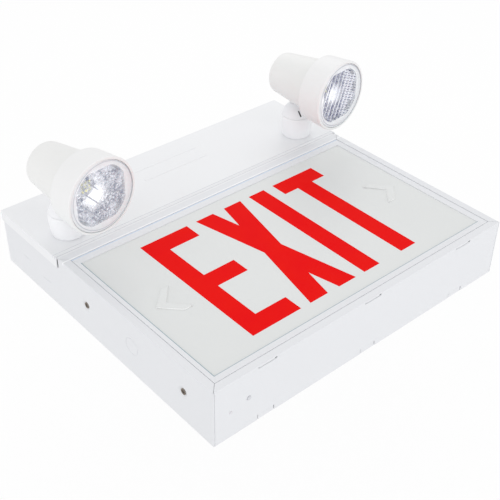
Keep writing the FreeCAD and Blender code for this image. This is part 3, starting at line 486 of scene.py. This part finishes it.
def lamp_body(name, lamp, base, painted_cool):
    """Lamp plastic, with a painted shaded line where bezel and can meet and a cooler tint painted
    on its side to the panel, against the pink light from the red letters.
    """
    finish = Finish(name, base, 0.40, ior=1.46)
    # A painted shaded line where bezel and can meet, and a cooler tint painted on the side toward
    # the panel against the pink light from the red letters.
    lap = finish.along(lamp["shine"], lamp["lap"]).band(*LAP_BAND)
    painted_cool_side = (finish.along(OUT, lamp["centre"]) * -1).fade(-0.01, 0.03)
    flow = finish.noise(0.03, detail=2.0, distortion=0.6)
    pits = mould_pits(finish)
    finish.paint(finish.varied(flow, base, 0.98, 1.01), (painted_cool_side, painted_cool), (lap * 0.6, LAP_SHADE))
    finish.set("Roughness", 0.34 + pits * 0.12)
    finish.bump(pits, MOULD_DEPTH)
    return finish.material


def optic_wires(finish, lamp):
    """Across, outwards and radial distance from a lamp's axis."""
    across = finish.along(lamp["across"], lamp["centre"])
    out = finish.along(OUT, lamp["centre"])
    return across, out, across.length_with(out)


def stripes(finish, lamp, lean, pitch, wander):
    """Waves 0 to 1 that run at a lean from outwards, with a little wander."""
    across, out, _ = optic_wires(finish, lamp)
    angle = math.radians(lean)
    run = across * math.cos(angle) - out * math.sin(angle)
    wave = finish.noise(0.008, detail=1.0)
    return (run * (2 * math.pi / pitch) + wave * wander).sine() * 0.5 + 0.5


def glare_distance(lamp, across, out, depth=0.0):
    """Distance from a lamp's painted glare, its brightest place, which moves aside with depth
    behind the lens.
    """
    return (across - lamp["glare"][0] - depth).length_with(out - lamp["glare"][1] + depth)


def crazing(finish):
    """Tiny cracked facets of a moulded optic."""
    return finish.noise(0.0026, detail=3.0, roughness=0.7)


def stippled(finish, lamp):
    """Painted darkness of the left lens, for the dark reflections in its optics: fine random
    stippling, with a few bars near the chips, cleared at the painted glare.
    """
    across, out, radius = optic_wires(finish, lamp)
    grains = finish.cells(0.0034).fade(0.35, 0.60)
    stipple = grains * 0.55 + crazing(finish).fade(0.46, 0.56) * 0.45
    clouds = finish.noise(0.013, detail=2.0).fade(0.35, 0.60)
    bars = stripes(finish, lamp, -41, 0.0125, 0.5).fade(0.90, 1.0)
    near = (1 - radius.fade(0.026, 0.034)) * (across * -1).fade(0.003, 0.009)
    glare = 1 - glare_distance(lamp, across, out).fade(0.005, 0.019)
    dark = stipple * (0.45 + clouds * 0.55) * (1 - glare)
    return dark.most(bars * near * 0.7)


def fluted(finish, lamp):
    """Painted darkness of the right lens, for the dark reflections in its optics: straight flutes,
    broken into dashes on one side, paler at the painted glare.
    """
    across, out, _ = optic_wires(finish, lamp)
    flutes = stripes(finish, lamp, 22, 0.0080, 0.7).fade(0.46, 0.72)
    dashes = stripes(finish, lamp, -66, 0.0036, 1.2).fade(0.25, 0.70)
    cracks = crazing(finish).fade(0.36, 0.60)
    broken = across.fade(-0.002, 0.010)
    glare = 1 - glare_distance(lamp, across, out).fade(0.006, 0.017)
    dark = flutes * (1 - broken * dashes * 0.8) * (0.55 + cracks * 0.45)
    return dark * (1 - glare * 0.66)


def lens_optics(name, lamp):
    """Clear moulded lens: optics within a rounded square, darkened with painted reflections, a ring
    of painted shade at its edge, and a milky rim beyond it.
    """
    finish = Finish(name, (0.94, 0.95, 0.98), 0.10, ior=1.49, specular_ior_level=0.30)
    across, out, radius = optic_wires(finish, lamp)
    side, height = across - FIELD_CENTRE[0], out - FIELD_CENTRE[1]
    reach = side.size().most(height.size())
    field = 1 - side.length_with(height).fade(*FIELD_ROUND)
    field = field * (1 - reach.fade(*FIELD_HALF)) * (1 - radius.fade(*FIELD_RIM))
    # The optic pattern is real relief, and its darkness is painted reflection.
    dark = lamp["pattern"](finish, lamp) * field
    rim = 1 - field
    # A ring of painted shade at the lens's edge.
    edge = radius.band(*LENS_EDGE_SHADE)
    waves = finish.noise(0.005, detail=2.0)
    finish.paint(finish.blend(dark.most(edge * 0.40), LENS_CLEAR, lamp["dark"]))
    finish.set("Alpha", (0.12 + waves * 0.06 + rim * 0.62 + dark * 0.80).least(1.0))
    finish.set("Roughness", 0.08 + waves * 0.06 + dark * 0.2)
    finish.bump(dark + waves * 0.3, 0.0003)
    return finish.material


def bright_bowl(name, lamp):
    """Vacuum-coated bowl: facets with painted pale and blue-grey reflections, a painted glare in
    the middle that glows, a pale flange, and a faint painted glow all over.
    """
    finish = Finish(name, (0.9, 0.9, 0.92), 0.30, metallic=0.25)
    across, out, radius = optic_wires(finish, lamp)
    # Painted glare: a highlight that stays at one place on the bowl.
    glare = 1 - glare_distance(lamp, across, out, GLARE_DEPTH).fade(0.007, 0.024)
    flange = radius.fade(0.0340, 0.0360)
    # The facets are real relief, and their pale and blue-grey tones are painted reflections.
    facets = finish.noise(0.0045, detail=3.0, roughness=0.7, distortion=0.6).fade(0.35, 0.65)
    pale = (facets + glare).least(1.0).most(flange)
    finish.paint(finish.blend(pale, (0.80, 0.82, 0.88), (0.95, 0.96, 0.98)))
    finish.set("Roughness", 0.30 + facets * 0.12)
    # Emission gives the whole bowl a faint painted glow, strongest at the painted glare.
    finish.set("Emission Color", finish.blend(glare, (0.24, 0.24, 0.26), (0.85, 0.85, 0.85)))
    finish.set("Emission Strength", 1.0)
    finish.bump(facets, 0.0002)
    return finish.material


def emitter(name, lamp):
    """White metal-core board with yellow phosphor chips, both given a faint painted glow."""
    finish = Finish(name, (0.90, 0.90, 0.90), 0.4)
    chip = finish.along(lamp["shine"], lamp["board_front"]).fade(0.1 * MM, 0.3 * MM)
    fine = finish.noise(0.0008, detail=2.0)
    phosphor = finish.blend(fine, (0.90, 0.84, 0.20), (0.98, 0.95, 0.45))
    finish.paint(finish.blend(chip, (0.90, 0.91, 0.93), phosphor))
    # Emission gives the board and chips a faint painted glow.
    finish.set("Emission Color", finish.blend(chip, (0.20, 0.20, 0.21), (0.50, 0.46, 0.08)))
    finish.set("Emission Strength", 1.0)
    finish.set("Roughness", 0.35 + fine * 0.1)
    finish.bump(fine, 0.00005)
    return finish.material


# ------------------------------------------------------------------ coating the carried-over solids

def coat(item, material):
    """Put one material on every slot of a piece."""
    if not item.material_slots:
        item.data.materials.append(material)
    for slot in item.material_slots:
        slot.material = material


def finish_nodes(lamps):
    """Give each carried-over solid the finish of its material slot, or one of its own."""
    finishes = {
        # White steel carries a painted highlight along the top of the window.
        "white_steel": powder_coat("white_steel", SHELL_WHITE, painted_lines=painted_edge_highlight),
        "frame_steel": ring_coat("frame_steel", SHELL_WHITE),
        "tray_white": powder_coat("tray_white", (0.90, 0.90, 0.90), roughness=0.3),
        "screw_steel": zinc("screw_steel", (0.60, 0.60, 0.62), roughness=0.25),
        "zinc_steel": zinc("zinc_steel", (0.66, 0.67, 0.69)),
        "core_steel": core_steel("core_steel"),
        "red_plastic": red_acrylic("red_plastic"),
        "circuit_green": circuit("circuit_green"),
        "battery_wrap": battery_wrap("battery_wrap"),
        "switch_black": moulded("switch_black", (0.03, 0.03, 0.03)),
        "button_grey": moulded("button_grey", (0.66, 0.67, 0.70)),
        "pilot_red": moulded("pilot_red", (0.72, 0.71, 0.74), roughness=0.3),
    }
    for entry in RECORD["subparts"]:
        material = finishes.get(entry["material_slot"])
        if material:
            coat(NODES[entry["node"]], material)
    coat(NODES["lamp_cover"], powder_coat("cover_white", COVER_WHITE, painted_lines=bend_lines))
    coat(NODES["side_screws"], dark_screw("dark_screw"))
    cup_white_painted_light = moulded("cup_white_painted_light", CUP_WHITE_PAINTED_LIGHT)
    for word, lamp in lamps.items():
        own = {
            "lens": lens_optics(f"{word}_lens", lamp),
            "reflector": bright_bowl(f"{word}_bowl", lamp),
            "bezel": lamp_body(f"{word}_bezel", lamp, BEZEL_WHITE, BEZEL_PAINTED_COOL),
            "housing": lamp_body(f"{word}_can", lamp, CAN_WHITE, CAN_PAINTED_COOL),
            "swivel": neck_plastic(f"{word}_neck", lamp),
            "base": cup_white_painted_light,
            "emitter": emitter(f"{word}_emitter", lamp),
        }
        for part, material in own.items():
            coat(NODES[f"{word}_lamp_{part}"], material)


# ------------------------------------------------------------------ legend

LEGEND_RISE = 1.9 * MM
LETTER_HEIGHT = 204.0 * MM
STROKE = 25.5 * MM
LETTER_GAP = 15.3 * MM
WIDE = 70.0 * MM
X_SPREAD = 1.0 * MM
X_BAR = STROKE * 1.06
CHEVRON_REACH = 192.6 * MM
CHEVRON_POINT = 15.0 * MM
CHEVRON_HALF = 22.6 * MM
CHEVRON_SLOPE = 22.6 * MM
CHEVRON_ARM = 12.0 * MM
CHEVRON_PROUD = 1.5 * MM
CHEVRON_EDGE = 1.4 * MM
CHEVRON_STEPS = 4
# Painted highlight on the chevrons' rounded edges.
CHEVRON_HIGHLIGHT = (0.94, 0.945, 0.94)
ENAMEL_PEEL = 0.0016
LETTER_FIT = 0.06 * MM
LETTER_SINK = 0.05 * MM
EDGE_ROUND = 0.12 * MM
WELD = 1e-6


def letter_e(left, low):
    """Three equal arms on a stem."""
    high, right = low + LETTER_HEIGHT, left + WIDE
    arm_low = low + (LETTER_HEIGHT - STROKE) / 2
    stem = left + STROKE
    return [(left, low), (right, low), (right, low + STROKE), (stem, low + STROKE),
            (stem, arm_low), (right, arm_low), (right, arm_low + STROKE), (stem, arm_low + STROKE),
            (stem, high - STROKE), (right, high - STROKE), (right, high), (left, high)]


def letter_x(left, low):
    """Two crossed bars."""
    middle, centre = left + WIDE / 2, low + LETTER_HEIGHT / 2
    half_w, half_h = WIDE / 2 + X_SPREAD, LETTER_HEIGHT / 2
    waist = X_BAR / 2
    notch = half_h - half_h * (half_w - X_BAR) / (half_w - waist)
    quarter = [(waist, 0), (half_w, half_h), (half_w - X_BAR, half_h), (0, notch)]
    ring = quarter + [(-x, z) for x, z in reversed(quarter[1:3])]
    ring += [(-waist, 0)] + [(-x, -z) for x, z in quarter[1:]]
    ring += [(x, -z) for x, z in reversed(quarter[1:3])]
    return [(middle + x, centre + z) for x, z in ring]


def letter_i(left, low):
    """One bar."""
    high, right = low + LETTER_HEIGHT, left + STROKE
    return [(left, low), (right, low), (right, high), (left, high)]


def letter_t(left, low):
    """A bar on top of a centred stem."""
    high, right = low + LETTER_HEIGHT, left + WIDE
    stem = left + (WIDE - STROKE) / 2
    bar = high - STROKE
    return [(stem, low), (stem + STROKE, low), (stem + STROKE, bar), (right, bar),
            (right, high), (left, high), (left, bar), (stem, bar)]


def letters(centre):
    """Outlines of the four letters, centred across the panel."""
    widths = ((letter_e, WIDE), (letter_x, WIDE), (letter_i, STROKE), (letter_t, WIDE))
    total = sum(width for _, width in widths) + LETTER_GAP * (len(widths) - 1)
    left = -total / 2
    low = centre - LETTER_HEIGHT / 2
    outlines = []
    for make, width in widths:
        outlines.append(make(left, low))
        left += width + LETTER_GAP
    return outlines


def chevron(side, centre):
    """Arrow head that points away from the letters."""
    tip = CHEVRON_REACH
    back = tip - CHEVRON_SLOPE
    points = [(tip, 0), (back, CHEVRON_HALF), (back - CHEVRON_ARM, CHEVRON_HALF),
              (tip - CHEVRON_POINT, 0), (back - CHEVRON_ARM, -CHEVRON_HALF), (back, -CHEVRON_HALF)]
    return [(side * x, centre + z) for x, z in points]


def flat_plate(name, outlines, front, thick, edge=EDGE_ROUND, inset=0.0, steps=1):
    """Plate cut to outlines: the first is its edge, and any others are holes."""
    curve = bpy.data.curves.new(name, "CURVE")
    curve.dimensions = "2D"
    curve.fill_mode = "BOTH"
    curve.extrude = max(thick / 2 - edge, 0)
    curve.bevel_depth = min(edge, thick / 2)
    curve.bevel_resolution = steps
    curve.offset = -edge - inset
    for points in outlines:
        spline = curve.splines.new("POLY")
        spline.points.add(len(points) - 1)
        for point, (x, z) in zip(spline.points, points):
            point.co = (x, z, 0, 1)
        spline.use_cyclic_u = True
    drawn = bpy.data.objects.new(name, curve)
    mesh = bpy.data.meshes.new_from_object(drawn)
    bpy.data.objects.remove(drawn)
    bpy.data.curves.remove(curve)
    mesh.transform(Matrix.Translation((0, front + thick / 2, 0)) @ UPRIGHT)
    shape = bmesh.new()
    shape.from_mesh(mesh)
    bmesh.ops.remove_doubles(shape, verts=shape.verts, dist=WELD)
    bmesh.ops.recalc_face_normals(shape, faces=shape.faces)
    shape.to_mesh(mesh)
    shape.free()
    piece = bpy.data.objects.new(name, mesh)
    bpy.context.scene.collection.objects.link(piece)
    return piece


def highlit_chevron_enamel(name, panel_low):
    """Panel enamel with a painted highlight along a chevron's rounded edge."""
    finish = Finish(name, PANEL_WHITE, 0.32, ior=1.5)
    proud = finish.along(OUT, panel_low)
    edge = 1 - proud.fade(CHEVRON_PROUD - 0.5 * MM, CHEVRON_PROUD - 0.1 * MM)
    peel = finish.noise(ENAMEL_PEEL, detail=1.0)
    finish.paint(finish.varied(peel, PANEL_WHITE, 1.0, 1.02), (edge, CHEVRON_HIGHLIGHT))
    finish.set("Roughness", 0.30 + peel * 0.06)
    finish.bump(peel, PEEL_DEPTH)
    return finish.material


def legend():
    """Legend panel with its letters cut through, filled with red, and two raised chevrons."""
    low, high = (Vector(corner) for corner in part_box("legend_panel"))
    thick = high.y - low.y
    centre = (low.z + high.z) / 2 + LEGEND_RISE
    edge = [(low.x, low.z), (high.x, low.z), (high.x, high.z), (low.x, high.z)]
    outlines = letters(centre)
    enamel = powder_coat("legend_enamel", PANEL_WHITE, roughness=0.36, grain=ENAMEL_PEEL)
    highlit_raised_enamel = highlit_chevron_enamel("highlit_raised_enamel", low)
    panel = flat_plate("legend_cut", [edge, *outlines], low.y, thick)
    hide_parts("legend_panel")
    red = red_acrylic("letter_red")
    pieces = [(panel, enamel, "legend_white")]
    for word, shape in zip("EXIT", outlines):
        inlay = flat_plate(f"letter_{word}", [shape], low.y + LETTER_SINK,
                           thick - 2 * LETTER_SINK, inset=LETTER_FIT)
        pieces.append((inlay, red, "red_plastic"))
    for side, word in ((-1, "left"), (1, "right")):
        raised = flat_plate(f"chevron_{word}", [chevron(side, centre)], low.y - CHEVRON_PROUD,
                            CHEVRON_PROUD + thick / 2, edge=CHEVRON_EDGE, steps=CHEVRON_STEPS)
        pieces.append((raised, highlit_raised_enamel, "legend_white"))
    for piece, material, slot in pieces:
        coat(piece, material)
        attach(piece, "sign")


# ------------------------------------------------------------------ lamps

# Each lamp's pattern, the colour of its painted dark reflections and the place of its painted
# glare.
LAMP_LOOKS = {
    "left": {"pattern": stippled, "dark": (0.22, 0.26, 0.35), "glare": (-0.010, 0.0044)},
    "right": {"pattern": fluted, "dark": (0.07, 0.08, 0.20), "glare": (-0.014, 0.0068)},
}


def lamp_facts():
    """Each lamp's pivot, axes and places, from its tilt joint and its nodes, with its looks."""
    facts = {}
    for joint in RECORD["behaviour"]["joints"]:
        if not joint["name"].endswith("_lamp_tilt"):
            continue
        word = joint["name"].split("_")[0]
        across = -Vector(joint["axis"])
        shine = across.cross(OUT)
        low, high = (Vector(corner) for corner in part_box(f"{word}_lamp_bezel"))
        facts[word] = {
            "pivot": Vector(joint["pos_m"]),
            "across": across,
            "shine": shine,
            "centre": (low + high) / 2,
            "lap": rearmost(f"{word}_lamp_bezel", shine),
            "board_front": rearmost(f"{word}_lamp_emitter", shine) + shine * BOARD_THICK,
            **LAMP_LOOKS[word],
        }
    return facts


def rearmost(node, shine):
    """A point level with the rearmost edge of a node, along the way its lamp shines."""
    return shine * min(corner.co.dot(shine) for corner in NODES[node].data.vertices)


# ------------------------------------------------------------------ room, light and camera

CAMERA_PLACE = Vector((-0.63758, -0.74091, -0.72035))
CAMERA_RIGHT = Vector((0.75702, -0.01008, -0.65331))
CAMERA_UP = Vector((0.38139, -0.80505, 0.45435))
CAMERA_BACK = Vector((-0.53053, -0.59312, -0.60559))
LENS = 67.73
SHIFT = (0.00894, -0.00922)

GROUND_WHITE = 0.94
GROUND_MATT = (0.90, 0.90, 0.90, 1)
GROUND_HALF = 4.0
GROUND_GAP = 0.20
WORLD_LIGHT = 0.87
WHITE = (1, 1, 1, 1)
# Each soft light has its name, its place, the length of its side and its power.
SOFTBOXES = (
    ("key", (0.75, -0.95, 0.75), 1.0, 2.2),
    ("side", (-2.2, -0.8, 0.3), 1.6, 7.0),
    ("low", (0.2, -0.5, -2.4), 1.6, 11.0),
)


def camera():
    """Camera below and to the left of the sign."""
    data = bpy.data.cameras.new("camera")
    data.lens = LENS
    data.sensor_width = 36.0
    data.shift_x, data.shift_y = SHIFT
    data.clip_start = 0.01
    item = bpy.data.objects.new("camera", data)
    turn = Matrix((CAMERA_RIGHT, CAMERA_UP, CAMERA_BACK)).transposed()
    item.matrix_world = Matrix.Translation(CAMERA_PLACE) @ turn.to_4x4()
    bpy.context.scene.collection.objects.link(item)
    bpy.context.scene.camera = item


def surface():
    """Pale ground, far enough behind the sign to leave its back lit. From behind it is clear."""
    shape = bmesh.new()
    bmesh.ops.create_grid(shape, x_segments=1, y_segments=1, size=GROUND_HALF)
    place = Matrix.Translation((0, cad_box[1][1] + GROUND_GAP, 0))
    bmesh.ops.transform(shape, verts=shape.verts, matrix=place @ UPRIGHT)
    mesh = bpy.data.meshes.new("ground")
    shape.to_mesh(mesh)
    shape.free()
    ground = bpy.data.objects.new("ground", mesh)
    bpy.context.scene.collection.objects.link(ground)
    material = bpy.data.materials.new("ground")
    material.use_nodes = True
    material.node_tree.nodes.clear()
    nodes = Nodes(material.node_tree)
    camera_ray, glossy_ray, through_ray = (
        nodes.out("ShaderNodeLightPath", f"Is {kind} Ray")
        for kind in ("Camera", "Glossy", "Transmission"))
    seen = camera_ray.most(glossy_ray).most(through_ray) * GROUND_WHITE
    matt = nodes.out("ShaderNodeBsdfDiffuse", values={"Color": GROUND_MATT})
    white = nodes.out("ShaderNodeEmission")
    lit = nodes.out("ShaderNodeMixShader", values={0: seen, 1: matt, 2: white})
    behind = nodes.out("ShaderNodeNewGeometry", "Backfacing")
    clear = nodes.out("ShaderNodeBsdfTransparent")
    sided = nodes.out("ShaderNodeMixShader", values={0: behind, 1: lit, 2: clear})
    nodes.add("ShaderNodeOutputMaterial", values={0: sided})
    coat(ground, material)


def softbox(name, place, size, power):
    """Square soft light that faces the middle of the sign."""
    data = bpy.data.lights.new(name, "AREA")
    data.shape = "SQUARE"
    data.size = size
    data.energy = power
    item = bpy.data.objects.new(name, data)
    item.location = place
    item.rotation_euler = (-Vector(place)).to_track_quat("-Z", "Y").to_euler()
    bpy.context.scene.collection.objects.link(item)


def room():
    """Even surroundings, brighter to the camera than to the object, and three soft lights."""
    world = bpy.data.worlds.new("studio")
    bpy.context.scene.world = world
    world.use_nodes = True
    world.node_tree.nodes.clear()
    nodes = Nodes(world.node_tree)
    seen = nodes.out("ShaderNodeLightPath", "Is Camera Ray")
    dim = nodes.out("ShaderNodeBackground", values={"Color": WHITE, "Strength": WORLD_LIGHT})
    bright = nodes.out("ShaderNodeBackground", values={"Color": WHITE})
    either = nodes.out("ShaderNodeMixShader", values={0: seen, 1: dim, 2: bright})
    nodes.add("ShaderNodeOutputWorld", values={0: either})
    for name, place, size, power in SOFTBOXES:
        softbox(name, place, size, power)


lamps = lamp_facts()
camera()
room()
surface()
finish_nodes(lamps)
legend()
bpy.context.scene.view_settings.view_transform = "Standard"
